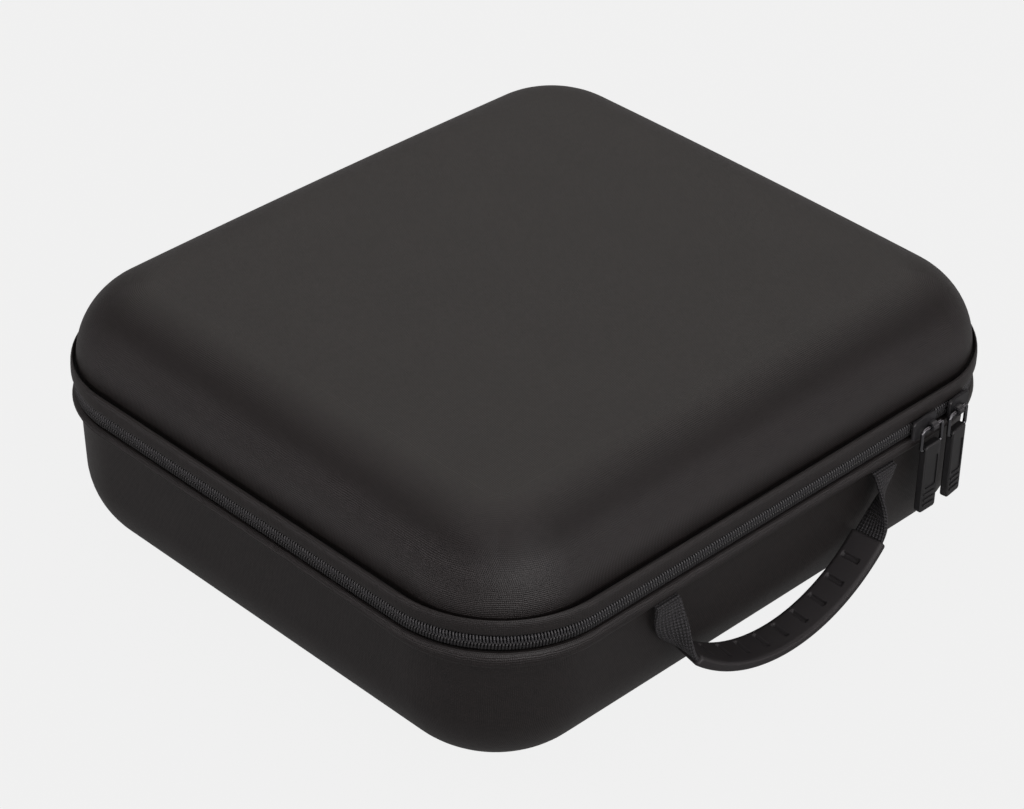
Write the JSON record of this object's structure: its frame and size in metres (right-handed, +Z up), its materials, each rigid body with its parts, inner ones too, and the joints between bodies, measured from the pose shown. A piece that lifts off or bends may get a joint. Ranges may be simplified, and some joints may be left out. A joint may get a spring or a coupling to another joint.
{
  "type": "portable game console case",
  "caption": "Hard-shell zip case for a portable game console: rounded lid and base, coil zip round the rim, webbing handle with a ribbed grip, foam tray and net pocket inside.",
  "frame": {"origin": "middle of the flat underside of the base", "axes": "+Z up through the lid, -Y out of the front where the handle hangs, +X towards the corner with the sliders"},
  "size_m": [0.3, 0.2829, 0.116],
  "materials": {
    "shell_fabric": "fine black woven polyester over moulded foam",
    "zip_tape": "black woven tape",
    "zip_coil": "black nylon coil, satin",
    "binding": "black knitted binding",
    "slider_metal": "black enamel, satin",
    "loop_metal": "black enamel, gloss",
    "pull_plastic": "soft black plastic",
    "webbing": "ribbed black webbing",
    "grip_rubber": "matt moulded rubber",
    "tray_foam": "dark foam with a brushed face",
    "pocket_net": "open knitted net"
  },
  "bodies": {
    "base": {"base_shell": "shell_fabric", "base_zip_tape": "zip_tape", "base_zip_coil": "zip_coil", "base_seam_binding": "binding", "foam_tray": "tray_foam", "zip_end_stops": "slider_metal", "hinge_tape": "zip_tape"},
    "lid": {"lid_shell": "shell_fabric", "lid_zip_tape": "zip_tape", "lid_zip_coil": "zip_coil", "lid_seam_binding": "binding", "mesh_pocket": "pocket_net", "pocket_hem": "binding"},
    "handle": {"handle_strap": "webbing", "handle_grip": "grip_rubber"},
    "left_slider_body": {"left_slider": "slider_metal"},
    "left_loop": {"left_pull_loop": "loop_metal"},
    "left_tab": {"left_pull_tab": "pull_plastic"},
    "right_slider_body": {"right_slider": "slider_metal"},
    "right_loop": {"right_pull_loop": "loop_metal"},
    "right_tab": {"right_pull_tab": "pull_plastic"}
  },
  "joints": [
    {"name": "lid_hinge", "type": "hinge", "parent": "base", "child": "lid", "pos_m": [0, 0.1353, 0.072], "axis": [-1, 0, 0], "range_deg": [0, 180], "deforming": ["hinge_tape"]},
    {"name": "handle_swing", "type": "hinge", "parent": "base", "child": "handle", "pos_m": [0, -0.13556, 0.06134], "axis": [-1, 0, 0], "range_deg": [0, 130]},
    {"name": "left_slider_slide", "type": "slide", "parent": "base", "child": "left_slider_body", "axis": [-1, 0, 0], "range_m": [0, 0.166], "deforming": ["left_pull_tab"]},
    {"name": "left_loop_swing", "type": "hinge", "parent": "left_slider_body", "child": "left_loop", "pos_m": [0.086, -0.1381, 0.072], "axis": [-1, 0, 0], "range_deg": [0, 100]},
    {"name": "left_tab_swing", "type": "hinge", "parent": "left_loop", "child": "left_tab", "pos_m": [0.086, -0.1381, 0.0624], "axis": [-1, 0, 0], "range_deg": [0, 80]},
    {"name": "right_slider_turn", "type": "hinge", "parent": "base", "child": "right_slider_body", "pos_m": [0.098, -0.083, 0.072], "axis": [0, 0, 1], "range_deg": [0, 76]},
    {"name": "right_loop_swing", "type": "hinge", "parent": "right_slider_body", "child": "right_loop", "pos_m": [0.10179, -0.13805, 0.072], "axis": [-0.9924, -0.1228, 0], "range_deg": [0, 100]},
    {"name": "right_tab_swing", "type": "hinge", "parent": "right_loop", "child": "right_tab", "pos_m": [0.10179, -0.13805, 0.0624], "axis": [-0.9924, -0.1228, 0], "range_deg": [0, 80]}
  ]
}
